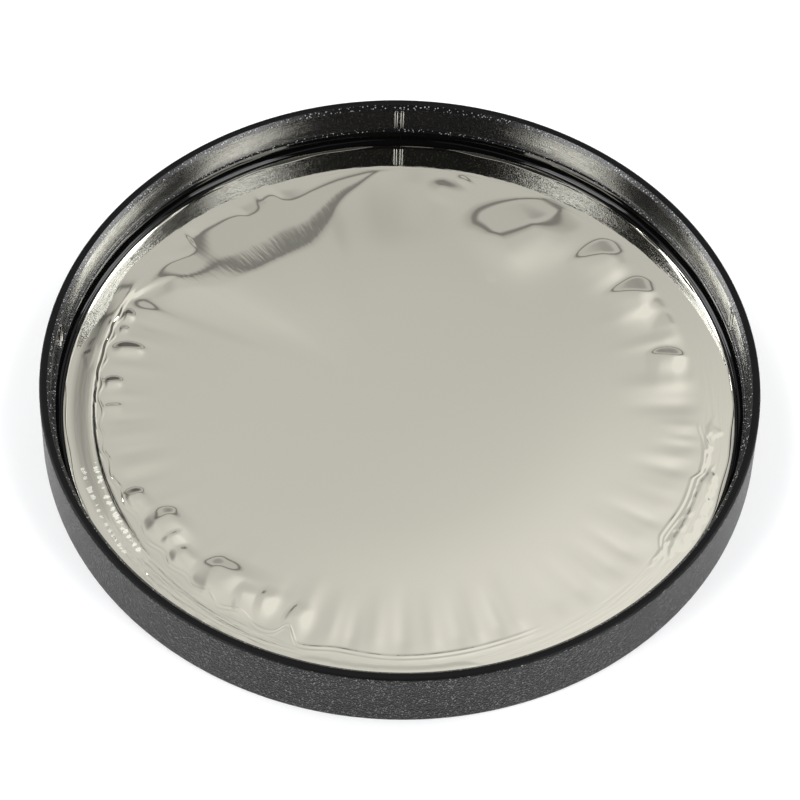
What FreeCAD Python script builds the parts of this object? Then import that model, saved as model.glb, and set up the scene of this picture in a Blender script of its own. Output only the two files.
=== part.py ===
import FreeCAD, Part
import Sketcher
import math
import os
from collections import namedtuple

from FreeCAD import Placement, Rotation, Vector

# A slip-on telescope solar filter that lies on its front with its open side up.
# Origin: centre of the front rim, on the surface that it lies on. +Z points out of the open side.

SIZES = [
    ("bore_radius", 69.7, "inner wall that slides over the telescope tube"),
    ("wall_thick", 2.3, "outer wall at the rim"),
    ("foot_draft", 0.15, "how far the outer wall leans in at the front"),
    ("recess_depth", 1.8, "front rim down to the flange"),
    ("flange_thick", 2.3, "flange that carries the film"),
    ("flange_width", 9.4, "flange, from the lower wall in to the aperture"),
    ("seat_rise", 3.3, "flange up to the ledge that stops the tube"),
    ("seat_ledge", 0.6, "width of that ledge"),
    ("socket_depth", 7.1, "ledge up to the rim"),
    ("lead_in", 0.7, "chamfer inside the rim"),
    ("rim_round", 0.5, "outer edge of the rim"),
    ("foot_round", 0.6, "outer edge of the front"),
    ("corner_round", 1.2, "glossy corner between flange and lower wall"),
    ("recess_round", 0.8, "corner between flange and front rim"),
    ("aperture_round", 0.5, "both edges of the aperture"),
    ("rib_round", 0.5, "radius of one grip ridge"),
    ("rib_proud", 0.3, "how far a ridge stands out of the wall"),
    ("rib_pitch", 1.25, "between the two ridges of a pair"),
    ("rib_lift", 0.3, "ledge up to the ridge's foot"),
    ("rib_drop", 0.1, "chamfer down to the ridge's top"),
    ("tape_thick", 0.2, "double-sided tape"),
    ("tape_setback", 0.3, "aperture out to the tape"),
    ("tape_margin", 0.4, "tape's outer edge in to the film's edge"),
    ("film_thick", 0.12, "metallised film"),
    ("film_gap", 0.2, "film's edge in to the rounded corner"),
    ("film_flat", 26.0, "radius of the film's flat middle"),
    ("pucker_height", 0.04, "gentle puckers all round the film"),
    ("pucker_reach", 14.0, "how far they run in from the bond line"),
    ("sag_depth", 0.35, "broad slack fold at the far left"),
    ("sag_reach", 15.0, "how far it runs in from the bond line"),
]

# Where the five pairs of grip ridges sit, in degrees from +X towards +Y. Three show in the
# photograph, and two are behind the near wall.
RIB_ANGLES = [16.3, 91.5, 171.4, 240.0, 308.0]

# The film's folds, each a low ridge that starts at the bond line. All but the angle are in mm.
Fold = namedtuple("Fold", "angle reach half_width height")
FOLDS = [
    Fold(1.5, 13.0, 2.6, -0.16),
    Fold(7.6, 11.0, 2.4, 0.16),
    Fold(13.6, 8.0, 1.8, 0.20),
    Fold(19.5, 9.0, 2.2, 0.18),
    Fold(33.0, 10.5, 3.2, 0.30),
    Fold(44.0, 11.5, 3.6, 0.32),
    Fold(63.5, 17.0, 5.0, 0.42),
    Fold(80.0, 9.0, 2.2, 0.14),
    Fold(152.5, 7.0, 1.8, 0.24),
    Fold(160.0, 4.0, 1.2, 0.14),
    Fold(168.3, 8.0, 1.6, 0.22),
    Fold(176.7, 6.0, 1.4, 0.20),
    Fold(182.6, 5.0, 1.2, 0.12),
    Fold(201.2, 11.0, 2.2, 0.16),
    Fold(205.2, 6.0, 1.6, 0.22),
    Fold(213.1, 10.5, 2.4, 0.34),
    Fold(217.6, 9.0, 1.6, 0.24),
    Fold(221.8, 7.5, 2.0, 0.30),
    Fold(229.8, 14.0, 3.2, 0.40),
    Fold(237.0, 16.0, 2.6, 0.38),
    Fold(244.5, 12.0, 2.4, 0.26),
    Fold(251.5, 14.0, 2.8, 0.30),
    Fold(260.0, 10.0, 2.4, 0.20),
    Fold(271.5, 11.0, 2.4, 0.18),
    Fold(284.0, 10.0, 2.4, 0.20),
    Fold(291.5, 11.0, 2.0, 0.22),
    Fold(318.3, 9.0, 2.0, 0.16),
    Fold(331.5, 9.0, 2.2, 0.18),
    Fold(345.8, 11.0, 2.2, 0.18),
    Fold(352.0, 9.0, 1.8, 0.14),
]
SAG_ANGLE = 126.0
SAG_HALF_ANGLE = 31.0
PUCKERS_ROUND = 45

# The grid of control points of the film's free part.
POLES_ROUND = 160
POLES_ACROSS = 9

OUTER = "(sizes.bore_radius + sizes.wall_thick)"
FLANGE_TOP = "(sizes.recess_depth + sizes.flange_thick)"
SEAT = f"({FLANGE_TOP} + sizes.seat_rise)"
RIM = f"({SEAT} + sizes.socket_depth)"
LOWER_WALL = "(sizes.bore_radius - sizes.seat_ledge)"
APERTURE = f"({LOWER_WALL} - sizes.flange_width)"
BOND_LINE = f"({APERTURE} + sizes.tape_setback)"
FILM_EDGE = f"({LOWER_WALL} - sizes.corner_round - sizes.film_gap)"
FILM_UNDERSIDE = f"({FLANGE_TOP} + sizes.tape_thick)"


def add_sizes(doc):
    """The spreadsheet of driving dimensions: what it is, its value, with an alias for each."""
    sheet = doc.addObject("Spreadsheet::Sheet", "sizes")
    ribs = [(f"rib_angle_{i}", angle, "grip ridges") for i, angle in enumerate(RIB_ANGLES, 1)]
    for row, (alias, value, note) in enumerate(SIZES + ribs, start=1):
        sheet.set(f"A{row}", note)
        sheet.set(f"B{row}", str(value))
        sheet.setAlias(f"B{row}", alias)
    doc.recompute()
    return sheet


def add_body(doc, label):
    body = doc.addObject("PartDesign::Body", label)
    body.Label = label
    body.Placement = Placement()
    return body


def add_sketch(body, name, role, height=None):
    """A sketch on one of the body's own origin planes, raised by an expression if one is given."""
    plane = next(f for f in body.Origin.OriginFeatures if f.Role == role)
    sketch = body.newObject("Sketcher::SketchObject", name)
    sketch.AttachmentSupport = [(plane, "")]
    sketch.MapMode = "FlatFace"
    if height:
        sketch.setExpression("AttachmentOffset.Base.z", height)
    return sketch


def bind(sketch, constraint, expression):
    """Add one constraint and bind its value to an expression."""
    index = sketch.addConstraint(constraint)
    sketch.setExpression(f"Constraints[{index}]", expression)


def draw_outline(sketch, corners):
    """Straight lines round the corners, each one a pair of expressions for radius and height."""
    points = []
    for across, up in corners:
        points.append(Vector(sketch.evalExpression(across), sketch.evalExpression(up), 0))
    count = len(points)
    for i in range(count):
        sketch.addGeometry(Part.LineSegment(points[i], points[(i + 1) % count]), False)
    for i in range(count):
        sketch.addConstraint(Sketcher.Constraint("Coincident", i, 2, (i + 1) % count, 1))
    for i, (across, up) in enumerate(corners):
        bind(sketch, Sketcher.Constraint("DistanceX", -1, 1, i, 1, points[i].x), across)
        if up == "0":
            sketch.addConstraint(Sketcher.Constraint("PointOnObject", i, 1, -1))
        else:
            bind(sketch, Sketcher.Constraint("DistanceY", -1, 1, i, 1, points[i].y), up)


def revolve(body, name, sketch, axis):
    turned = body.newObject("PartDesign::Revolution", name)
    turned.Profile = sketch
    turned.ReferenceAxis = (sketch, [axis])
    turned.Angle = 360
    body.Document.recompute()
    return turned


def ring_edge(feature, radius, height):
    """The name of the circular edge of that radius at that height, given as expressions."""
    want_radius = feature.evalExpression(radius)
    want_height = feature.evalExpression(height)
    for index, edge in enumerate(feature.Shape.Edges, start=1):
        curve = edge.Curve
        if not isinstance(curve, Part.Circle):
            continue
        if abs(curve.Radius - want_radius) < 1e-4 and abs(curve.Center.z - want_height) < 1e-4:
            return f"Edge{index}"
    raise RuntimeError(f"no ring edge at radius {want_radius}, height {want_height}")


def dress(body, kind, name, places, size):
    """Round or chamfer the ring edges at the given places by one size from the sheet."""
    base = body.Tip
    feature = body.newObject(f"PartDesign::{kind}", name)
    feature.Base = (base, [ring_edge(base, radius, height) for radius, height in places])
    feature.setExpression("Radius" if kind == "Fillet" else "Size", f"sizes.{size}")
    body.Document.recompute()


def draw_ridge(sketch, distance, foot, top):
    """Half the outline of an upright rod with round ends, with its axis at that distance."""
    rod = sketch.evalExpression("sizes.rib_round")
    x = sketch.evalExpression(distance)
    low = sketch.evalExpression(foot)
    high = sketch.evalExpression(top)
    upright = Vector(0, 0, 1)
    top_circle = Part.Circle(Vector(x, high - rod, 0), upright, rod)
    foot_circle = Part.Circle(Vector(x, low + rod, 0), upright, rod)
    outline = [
        Part.LineSegment(Vector(x, low, 0), Vector(x, high, 0)),
        Part.ArcOfCircle(top_circle, math.pi / 2, math.pi),
        Part.LineSegment(Vector(x - rod, high - rod, 0), Vector(x - rod, low + rod, 0)),
        Part.ArcOfCircle(foot_circle, math.pi, 1.5 * math.pi),
    ]
    axis, top_arc, side, foot_arc = [sketch.addGeometry(piece, False) for piece in outline]
    start, end, centre = 1, 2, 3
    for constraint in (
        Sketcher.Constraint("Coincident", axis, end, top_arc, start),
        Sketcher.Constraint("Tangent", top_arc, end, side, start),
        Sketcher.Constraint("Tangent", side, end, foot_arc, start),
        Sketcher.Constraint("Coincident", foot_arc, end, axis, start),
        Sketcher.Constraint("Vertical", axis),
        Sketcher.Constraint("Vertical", side),
        Sketcher.Constraint("PointOnObject", top_arc, centre, axis),
        Sketcher.Constraint("PointOnObject", foot_arc, centre, axis),
    ):
        sketch.addConstraint(constraint)
    bind(sketch, Sketcher.Constraint("Radius", top_arc, rod), "sizes.rib_round")
    bind(sketch, Sketcher.Constraint("DistanceX", -1, 1, axis, start, x), distance)
    bind(sketch, Sketcher.Constraint("DistanceY", -1, 1, axis, start, low), foot)
    bind(sketch, Sketcher.Constraint("DistanceY", -1, 1, axis, end, high), top)


def add_ridge_pair(body, index):
    """Two upright ridges, side by side on the socket wall, that grip the telescope tube."""
    distance = "sizes.bore_radius + sizes.rib_round - sizes.rib_proud"
    foot = f"{SEAT} + sizes.rib_lift"
    top = f"{RIM} - sizes.lead_in - sizes.rib_drop"
    half_pitch = "sizes.rib_pitch / 2 / sizes.bore_radius * 180 / pi"
    for side, sign in (("a", "-"), ("b", "+")):
        sketch = add_sketch(body, f"ridge_outline_{index}{side}", "XZ_Plane")
        sketch.AttachmentOffset = Placement(Vector(), Rotation(Vector(0, 1, 0), 1))
        turn = f"sizes.rib_angle_{index} {sign} {half_pitch}"
        sketch.setExpression("AttachmentOffset.Rotation.Angle", turn)
        draw_ridge(sketch, distance, foot, top)
        revolve(body, f"ridge_{index}{side}", sketch, "Edge1")


def make_filter_cell(doc):
    """The moulded cap: a turned section with rounded edges, and the grip ridges in its socket."""
    body = add_body(doc, "filter_cell")
    section = add_sketch(body, "cell_section", "XZ_Plane")
    draw_outline(
        section,
        [
            (APERTURE, "sizes.recess_depth"),
            (LOWER_WALL, "sizes.recess_depth"),
            (LOWER_WALL, "0"),
            (f"{OUTER} - sizes.foot_draft", "0"),
            (OUTER, RIM),
            ("sizes.bore_radius", RIM),
            ("sizes.bore_radius", SEAT),
            (LOWER_WALL, SEAT),
            (LOWER_WALL, FLANGE_TOP),
            (APERTURE, FLANGE_TOP),
        ],
    )
    revolve(body, "turned_cell", section, "V_Axis")
    dress(body, "Chamfer", "rim_lead_in", [("sizes.bore_radius", RIM)], "lead_in")
    dress(body, "Fillet", "rounded_rim", [(OUTER, RIM)], "rim_round")
    dress(body, "Fillet", "rounded_foot", [(f"{OUTER} - sizes.foot_draft", "0")], "foot_round")
    dress(body, "Fillet", "glossy_corner", [(LOWER_WALL, FLANGE_TOP)], "corner_round")
    dress(body, "Fillet", "recess_corner", [(LOWER_WALL, "sizes.recess_depth")], "recess_round")
    aperture_edges = [(APERTURE, "sizes.recess_depth"), (APERTURE, FLANGE_TOP)]
    dress(body, "Fillet", "rounded_aperture", aperture_edges, "aperture_round")
    for index in range(1, len(RIB_ANGLES) + 1):
        add_ridge_pair(body, index)
    return body


def make_adhesive_ring(doc):
    """The flat ring of tape between the flange and the film."""
    body = add_body(doc, "adhesive_ring")
    sketch = add_sketch(body, "tape_outline", "XY_Plane", FLANGE_TOP)
    for radius in (BOND_LINE, f"{FILM_EDGE} - sizes.tape_margin"):
        value = sketch.evalExpression(radius)
        circle = sketch.addGeometry(Part.Circle(Vector(), Vector(0, 0, 1), value), False)
        sketch.addConstraint(Sketcher.Constraint("Coincident", circle, 3, -1, 1))
        bind(sketch, Sketcher.Constraint("Radius", circle, value), radius)
    tape = body.newObject("PartDesign::Pad", "tape")
    tape.Profile = sketch
    tape.setExpression("Length", "sizes.tape_thick")
    doc.recompute()
    return body


def turn_between(angle, centre):
    """The smallest turn from centre to angle, in degrees."""
    return (angle - centre + 180) % 360 - 180


def swell(inward, fall):
    """From 0 at the bond line, up to 1 at a share of 1 / (1 + fall), and down to 0 at the tip."""
    if not 0 < inward < 1:
        return 0
    peak = 1 / (1 + fall)
    return inward / peak * ((1 - inward) / (1 - peak)) ** fall


def fold_rise(fold, radius, angle, bond_line):
    """One fold: a low round ridge that is widest near the bond line."""
    turn = math.radians(turn_between(angle, fold.angle))
    aside = radius * math.sin(turn) / fold.half_width
    if abs(turn) > math.pi / 4 or abs(aside) >= 1:
        return 0
    return fold.height * (1 - aside**2) ** 2 * swell((bond_line - radius) / fold.reach, 2)


def sag_rise(sheet, radius, angle, bond_line):
    """The broad slack fold: it drops close to the bond line and climbs gently to the middle."""
    aside = turn_between(angle, SAG_ANGLE) / SAG_HALF_ANGLE
    if abs(aside) >= 1:
        return 0
    spread = math.sqrt(1 - aside**2)
    inward = (bond_line - radius) / (sheet.sag_reach * spread)
    return -sheet.sag_depth * spread * swell(inward, 4)


def pucker_rise(sheet, angle, inward):
    """The gentle puckers that run all round: uneven waves that fade towards the middle."""
    turn = math.radians(angle)
    uneven = 1.5 * math.sin(3 * turn) + 2 * math.sin(7 * turn)
    wave = math.cos(PUCKERS_ROUND * turn + uneven)
    return sheet.pucker_height * wave * swell(inward, 2)


def film_rise(sheet, radius, angle, bond_line):
    """Height of the film's surface over its bonded edge."""
    rise = sag_rise(sheet, radius, angle, bond_line)
    rise += pucker_rise(sheet, angle, (bond_line - radius) / sheet.pucker_reach)
    for fold in FOLDS:
        rise += fold_rise(fold, radius, angle, bond_line)
    return rise


def puckered_face(sheet, inner, bond_line, height):
    """The free part of the film as one smooth surface, closed round the aperture."""
    poles = []
    for step in range(POLES_ROUND):
        angle = 360 * step / POLES_ROUND
        turn = math.radians(angle)
        across = []
        for ring in range(POLES_ACROSS):
            radius = inner + (bond_line - inner) * ring / (POLES_ACROSS - 1)
            level = height + film_rise(sheet, radius, angle, bond_line)
            across.append(Vector(radius * math.cos(turn), radius * math.sin(turn), level))
        poles.append(across)
    degree = 3
    spans = POLES_ACROSS - degree
    surface = Part.BSplineSurface()
    surface.buildFromPolesMultsKnots(
        poles,
        [1] * (POLES_ROUND + 1),
        [degree + 1] + [1] * (spans - 1) + [degree + 1],
        list(range(POLES_ROUND + 1)),
        list(range(spans + 1)),
        True,
        False,
        degree,
        degree,
    )
    return surface.toShape()


def make_solar_film(doc, sheet):
    """The metallised film: a thin disc, flat in the middle and where it is bonded."""
    edge = sheet.evalExpression(FILM_EDGE)
    bond_line = sheet.evalExpression(BOND_LINE)
    underside = sheet.evalExpression(FILM_UNDERSIDE)
    free = puckered_face(sheet, sheet.film_flat, bond_line, underside)
    rings = sorted((e for e in free.Edges if e.isClosed()), key=lambda e: e.BoundBox.XLength)
    middle = Part.Face(Part.Wire(rings[0]))
    outer = Part.Wire(Part.makeCircle(edge, Vector(0, 0, underside)))
    bonded = Part.Face([outer, Part.Wire(rings[-1])])
    lift = Vector(0, 0, sheet.film_thick)
    below = [middle, free, bonded]
    above = [face.translated(lift) for face in below]
    rim = Part.makeCylinder(edge, sheet.film_thick, Vector(0, 0, underside)).Faces[0]
    skin = Part.Shell(below + above + [rim])
    skin.sewShape()
    film = doc.addObject("Part::Feature", "solar_film")
    film.Label = "solar_film"
    film.Shape = Part.makeSolid(skin)
    film.Placement = Placement()
    return film


def check_document(doc, pieces):
    """Stop if any object failed, or if a piece has no valid solid."""
    for item in doc.Objects:
        if "Invalid" in item.State or "Error" in item.State:
            raise RuntimeError(f"{item.Name} failed: {item.State}")
    for piece in pieces:
        if piece.Shape.isNull() or not piece.Shape.isValid() or not piece.Shape.Solids:
            raise RuntimeError(f"{piece.Label} has no valid solid")


def main():
    doc = FreeCAD.newDocument("telescope_solar_filter")
    sheet = add_sizes(doc)
    pieces = [make_filter_cell(doc), make_adhesive_ring(doc), make_solar_film(doc, sheet)]
    doc.recompute()
    check_document(doc, pieces)
    os.makedirs("parts", exist_ok=True)
    for piece in pieces:
        piece.Shape.exportStep(f"parts/{piece.Label}.step")
        print(f"{piece.Label}: {piece.Shape.Volume:.1f} cubic mm, {len(piece.Shape.Faces)} faces")


main()
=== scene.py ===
import math

import bpy
import numpy as np
from mathutils import Matrix, Vector


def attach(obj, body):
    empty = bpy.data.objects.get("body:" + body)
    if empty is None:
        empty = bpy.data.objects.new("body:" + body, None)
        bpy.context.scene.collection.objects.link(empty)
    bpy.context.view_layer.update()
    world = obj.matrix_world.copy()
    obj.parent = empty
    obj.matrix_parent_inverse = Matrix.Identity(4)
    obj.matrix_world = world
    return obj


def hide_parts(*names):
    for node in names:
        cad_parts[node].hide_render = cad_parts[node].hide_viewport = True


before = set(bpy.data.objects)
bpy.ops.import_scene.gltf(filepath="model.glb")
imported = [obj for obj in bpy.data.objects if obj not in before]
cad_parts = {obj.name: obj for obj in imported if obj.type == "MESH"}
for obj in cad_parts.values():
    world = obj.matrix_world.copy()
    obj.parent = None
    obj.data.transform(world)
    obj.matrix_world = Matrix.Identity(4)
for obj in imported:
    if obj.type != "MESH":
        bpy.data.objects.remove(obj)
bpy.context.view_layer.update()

# A slip-on telescope solar filter, lying on its front with its open side up.
# Sizes below are in millimetres, and meshes are made in metres.
MM = 0.001

OUTER = 72.0
SKIN = 71.99  # the dressed wall, a hair inside the solid one
BORE = 69.7
LOWER_WALL = 69.1
APERTURE = 59.7
FILM_EDGE = 67.7
RIM = 14.5
SEAT = 7.4
FLANGE_TOP = 4.1
RECESS = 1.8
FILM_TOP = 4.42
FILM_THICK = 0.11


# ---- the film's shape ----

# The slack fold at the far left: where it starts to fall (angle in degrees, share of the
# cell's radius), and the wavy crease where it meets the bonded film.
FOLD_START = [
    (92, 0.846), (95.9, 0.840), (100.3, 0.799), (104.8, 0.754), (109.4, 0.689), (115.1, 0.645),
    (120.5, 0.636), (126.9, 0.640), (135.0, 0.648), (141.9, 0.671), (148.1, 0.741),
    (153.5, 0.790), (158.2, 0.835),
]
CREASE = [
    (92, 0.850), (95.9, 0.848), (100, 0.838), (103.9, 0.829), (109.5, 0.810), (113.9, 0.794),
    (116.2, 0.809), (117.5, 0.8335), (120.3, 0.8345), (121.6, 0.812), (124.1, 0.801),
    (126.3, 0.818), (130.8, 0.830), (135.0, 0.837), (137.2, 0.833), (138.0, 0.808),
    (139.9, 0.796), (142.0, 0.806), (144.5, 0.823), (148.1, 0.832), (157.8, 0.848),
]

# Where the adhesive ends under the film: scallops with cusps that point inwards.
BOND = [
    (0, 0.843), (14, 0.838), (60, 0.836), (92, 0.850), (130, 0.852), (158, 0.850), (160.5, 0.840),
    (163, 0.849), (165.5, 0.838), (168, 0.848), (171, 0.838), (174.2, 0.847), (177.5, 0.836),
    (180, 0.843), (183.9, 0.829), (187, 0.838), (190, 0.830), (192.9, 0.837), (195.4, 0.827),
    (199, 0.834), (202.4, 0.822),
    (206.5, 0.831), (209.9, 0.816), (215.9, 0.830), (219.7, 0.816), (222.9, 0.829),
    (226.4, 0.818), (229, 0.827), (231.9, 0.816), (235.5, 0.833), (239.5, 0.815), (244.8, 0.838),
    (247.6, 0.826), (249.2, 0.795), (252.8, 0.845), (260, 0.829), (270, 0.836), (284, 0.832),
    (292, 0.829), (310, 0.836), (325.3, 0.872), (330.4, 0.838), (339.3, 0.848), (344.3, 0.846),
    (346.7, 0.864), (352.8, 0.857), (357.1, 0.838), (360, 0.843),
]

# Folds that stand up like petals: both ends of the crest (share of radius, angle), how wide
# the steep side is in mm, its slope, how wide the gentle side is in mm, how far the crest
# bows towards the steep side in mm, and where along it the petal is widest. A negative slope
# makes a groove.
PETALS = [
    ((0.560, 71.4), (0.890, 56.2), 12.6, 0.040, 8.0, -1.4, 0.30),
    ((0.690, 48.2), (0.866, 41.0), 5.2, 0.058, 6.0, 0.1, 0.60),
    ((0.690, 35.8), (0.856, 29.6), 4.9, 0.068, 6.0, 0.2, 0.62),
    ((0.715, 16.0), (0.845, 13.2), 2.8, 0.085, 5.0, 0.1, 0.50),
    ((0.760, 21.8), (0.856, 21.4), 4.0, 0.018, 5.0, 0.2, 0.60),
    ((0.770, 26.4), (0.856, 25.6), 3.6, 0.018, 5.0, 0.2, 0.60),
    ((0.730, 83.8), (0.836, 81.4), 3.6, 0.014, 4.0, 0.0, 0.50),
    ((0.820, 79.2), (0.850, 78.0), 1.6, 0.020, 2.0, 0.0, 0.50),
    ((0.772, 146.0), (0.860, 158.6), 1.8, -0.120, 3.0, 0.0, 0.50),
    ((0.800, 159.6), (0.848, 160.5), 1.8, 0.110, 1.6, 0.2, 0.60),
    ((0.802, 163.2), (0.838, 163.6), 1.3, 0.100, 1.0, 0.0, 0.50),
    ((0.720, 167.3), (0.850, 168.9), 2.2, 0.120, 1.6, 0.3, 0.50),
    ((0.768, 176.1), (0.846, 177.5), 1.8, 0.120, 1.8, 0.2, 0.50),
    ((0.760, 182.3), (0.840, 182.8), 0.9, 0.110, 1.6, 0.0, 0.50),
    ((0.752, 204.5), (0.842, 206.0), 2.4, 0.105, 4.0, 0.2, 0.55),
    ((0.690, 212.6), (0.842, 214.2), 3.8, 0.098, 5.5, 0.2, 0.46),
    ((0.730, 217.7), (0.816, 217.8), 1.4, 0.110, 3.0, 0.0, 0.50),
    ((0.742, 222.0), (0.836, 222.8), 2.6, 0.090, 4.0, 0.2, 0.50),
    ((0.680, 229.4), (0.864, 232.6), 5.2, 0.088, 8.0, 0.3, 0.46),
    ((0.720, 236.8), (0.856, 240.0), 2.2, 0.080, 5.0, 0.2, 0.45),
    ((0.700, 241.4), (0.826, 243.6), 1.7, 0.090, 3.0, 0.2, 0.50),
    ((0.700, 249.7), (0.812, 248.5), 1.3, 0.115, 3.0, 0.0, 0.60),
]

# Soft puckers: angle, inner end and outer end (share of radius), half width and height in mm.
PUCKERS = [
    (88.0, 0.62, 0.85, 3.0, 0.015), (78.0, 0.66, 0.85, 2.2, 0.018), (52.0, 0.60, 0.85, 2.4, 0.020),
    (39.0, 0.58, 0.85, 1.8, 0.020), (28.0, 0.58, 0.84, 1.6, 0.025), (19.0, 0.60, 0.84, 1.5, 0.035),
    (7.6, 0.58, 0.84, 2.2, 0.050), (1.6, 0.60, 0.84, 1.8, -0.040), (-3.2, 0.70, 0.85, 1.1, 0.020),
    (-5.6, 0.74, 0.85, 0.8, -0.015), (-8.4, 0.70, 0.85, 1.2, -0.026), (-11.2, 0.68, 0.84, 1.1, 0.016),
    (-14.4, 0.64, 0.84, 1.6, -0.040), (-19.5, 0.66, 0.84, 1.6, 0.014), (-24.0, 0.60, 0.84, 2.0, 0.016),
    (-28.0, 0.62, 0.84, 1.3, -0.026), (-33.0, 0.58, 0.84, 2.0, 0.018), (-37.2, 0.62, 0.84, 1.3, -0.028),
    (-42.0, 0.62, 0.84, 1.4, -0.022), (-46.0, 0.62, 0.84, 1.2, 0.014), (-50.5, 0.62, 0.84, 1.4, -0.022),
    (-56.0, 0.62, 0.83, 1.5, -0.014), (-64.5, 0.60, 0.84, 1.5, 0.030), (-68.8, 0.62, 0.84, 1.2, -0.036),
    (-73.0, 0.60, 0.84, 1.3, 0.030), (-77.0, 0.62, 0.84, 1.4, -0.026), (-82.0, 0.60, 0.84, 1.5, 0.030),
    (-88.0, 0.58, 0.84, 1.5, -0.034), (266.5, 0.60, 0.84, 1.6, 0.036), (262.0, 0.64, 0.84, 1.2, -0.034),
    (257.6, 0.62, 0.84, 1.3, 0.034), (254.0, 0.60, 0.84, 1.6, -0.030), (251.0, 0.58, 0.85, 1.7, 0.042),
    (245.5, 0.62, 0.83, 1.4, -0.030), (233.5, 0.58, 0.82, 1.8, 0.020), (225.5, 0.60, 0.82, 1.6, 0.020),
    (209.3, 0.56, 0.82, 1.6, 0.030), (201.4, 0.62, 0.83, 1.5, -0.050), (198.0, 0.60, 0.83, 1.4, 0.040),
    (194.6, 0.62, 0.83, 1.2, -0.034), (190.0, 0.60, 0.83, 1.5, 0.036), (186.0, 0.64, 0.83, 1.1, -0.034),
    (179.8, 0.66, 0.84, 1.3, 0.045), (172.4, 0.62, 0.84, 1.5, 0.040), (165.0, 0.62, 0.84, 1.4, 0.036),
    (161.0, 0.58, 0.82, 1.2, -0.034), (157.0, 0.58, 0.82, 1.3, 0.036),
]


def smooth(low, high, value):
    """0 below low, 1 above high, and an even S curve between."""
    t = np.clip((value - low) / (high - low), 0, 1)
    return t * t * (3 - 2 * t)


def soft_ramp(value, blur):
    """0 below zero and value above it, rounded over blur."""
    return blur * np.logaddexp(0, value / blur)


def even_fall(t, ease):
    """0 to 1 - ease with a slope of 1, eased over that share at both ends."""
    t = np.clip(t, 0, 1)
    middle = np.where(t > 1 - ease, 1 - ease - (1 - t) ** 2 / ease / 2, t - ease / 2)
    return np.where(t < ease, t * t / ease / 2, middle)


def hump(distance, width):
    return np.exp(-((distance / width) ** 2))


def curve_through(points, angle, ease=1.0):
    """A line through (angle, share of radius) points, read at each angle, in mm."""
    turns = np.array([p[0] for p in points], float)
    radii = np.array([p[1] for p in points]) * OUTER
    steps = np.diff(radii) / np.diff(turns)
    slopes = np.concatenate([[0.0], np.where(steps[1:] * steps[:-1] > 0, (steps[1:] + steps[:-1]) / 2, 0), [0.0]])
    slopes = slopes * ease
    i = np.clip(np.searchsorted(turns, angle) - 1, 0, len(turns) - 2)
    span = turns[i + 1] - turns[i]
    t = np.clip((angle - turns[i]) / span, 0, 1)
    return (
        radii[i] * (1 + 2 * t) * (1 - t) ** 2
        + slopes[i] * span * t * (1 - t) ** 2
        + radii[i + 1] * t * t * (3 - 2 * t)
        + slopes[i + 1] * span * t * t * (t - 1)
    )


def from_polar(place):
    share, angle = place
    turn = math.radians(angle)
    return share * OUTER * math.cos(turn), share * OUTER * math.sin(turn)


# The smooth line that the big fold falls to, and how it falls: slope, as a share of its
# steepest, against the way back from that line (0) to where the fold starts (1).
FOLD_END = [
    (90, 0.850), (98, 0.846), (106, 0.826), (115, 0.812), (125, 0.817), (136, 0.818), (146, 0.824), (160, 0.850),
]
FOLD_SLOPE = [(0.0, 1.0), (0.42, 1.0), (0.55, 0.93), (0.70, 0.74), (1.08, 0.56), (1.19, 0.2), (1.32, 0.0)]


def fold_levels(angle):
    """Slope and width of the big fold at each angle."""
    ends = smooth(91, 98, angle) * (1 - smooth(145, 157, angle))
    sine = np.clip(np.sin(np.radians(angle)), 0.3, 1)
    base = (sine * 0.76 * OUTER + 474.9) / 652.3
    steep = ends * (0.908 - base) / 3.06 / sine
    width = np.maximum(curve_through(FOLD_END, angle) - curve_through(FOLD_START, angle), 0.4)
    return steep * (1 - 0.3 * hump(angle - 147, 8)), width


def slack(radius, angle):
    """The whole film stands a little proud of its bonded edge, and falls to it all round.

    At the far left it stays up until late and then falls fast, which makes the big fold."""
    marks = np.linspace(-0.5, 1.32, 183)
    slopes = np.interp(marks, [p[0] for p in FOLD_SLOPE], [p[1] for p in FOLD_SLOPE])
    heights = np.concatenate([[0], np.cumsum((slopes[1:] + slopes[:-1]) / 2 * 0.01)])
    heights -= np.interp(0, marks, heights)
    # inside the folds the film is a soap film: it takes the even middle of the heights around
    turns = np.arange(360.0)
    steep, width = fold_levels(turns)
    waves = np.fft.rfft(0.12 + steep * width * heights[-1]) / 360
    inner = np.full_like(radius, waves[0].real)
    for n in range(1, 15):
        spread = 2 * math.exp(-((n / 9) ** 2)) * (1 + (46 / np.maximum(radius, 1)) ** 5) ** (-n / 5)
        turn = n * np.radians(angle)
        inner += spread * (waves[n].real * np.cos(turn) - waves[n].imag * np.sin(turn))
    steep, width = fold_levels(angle)
    top = steep * width * heights[-1]
    even = curve_through(FOLD_END, angle)
    crease = curve_through(CREASE, angle)
    # the crease's broad waves reach a few mm into the fold, and its sharp ones don't
    turns = np.linspace(-7, 7, 15)
    broad = sum(hump(turn, 3.5) * curve_through(CREASE, angle + turn) for turn in turns) / hump(turns, 3.5).sum()
    shift = (broad - even) * np.exp(-np.clip(broad - radius, 0, None) / 5)
    surface = steep * width * np.interp((even + shift - radius) / width, marks, heights)
    level = steep * (broad - crease) * (1 - smooth(crease, crease + 3.5, radius))
    fold = level + soft_ramp(surface - level, 0.014)
    fold = top + (fold - top) * smooth(28, 41, radius)
    start = curve_through([(0, 0.80)] + FOLD_START + [(360, 0.80)], angle)
    return fold + (inner - top) * (1 - smooth(start - 30, start - 1, radius))


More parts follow.
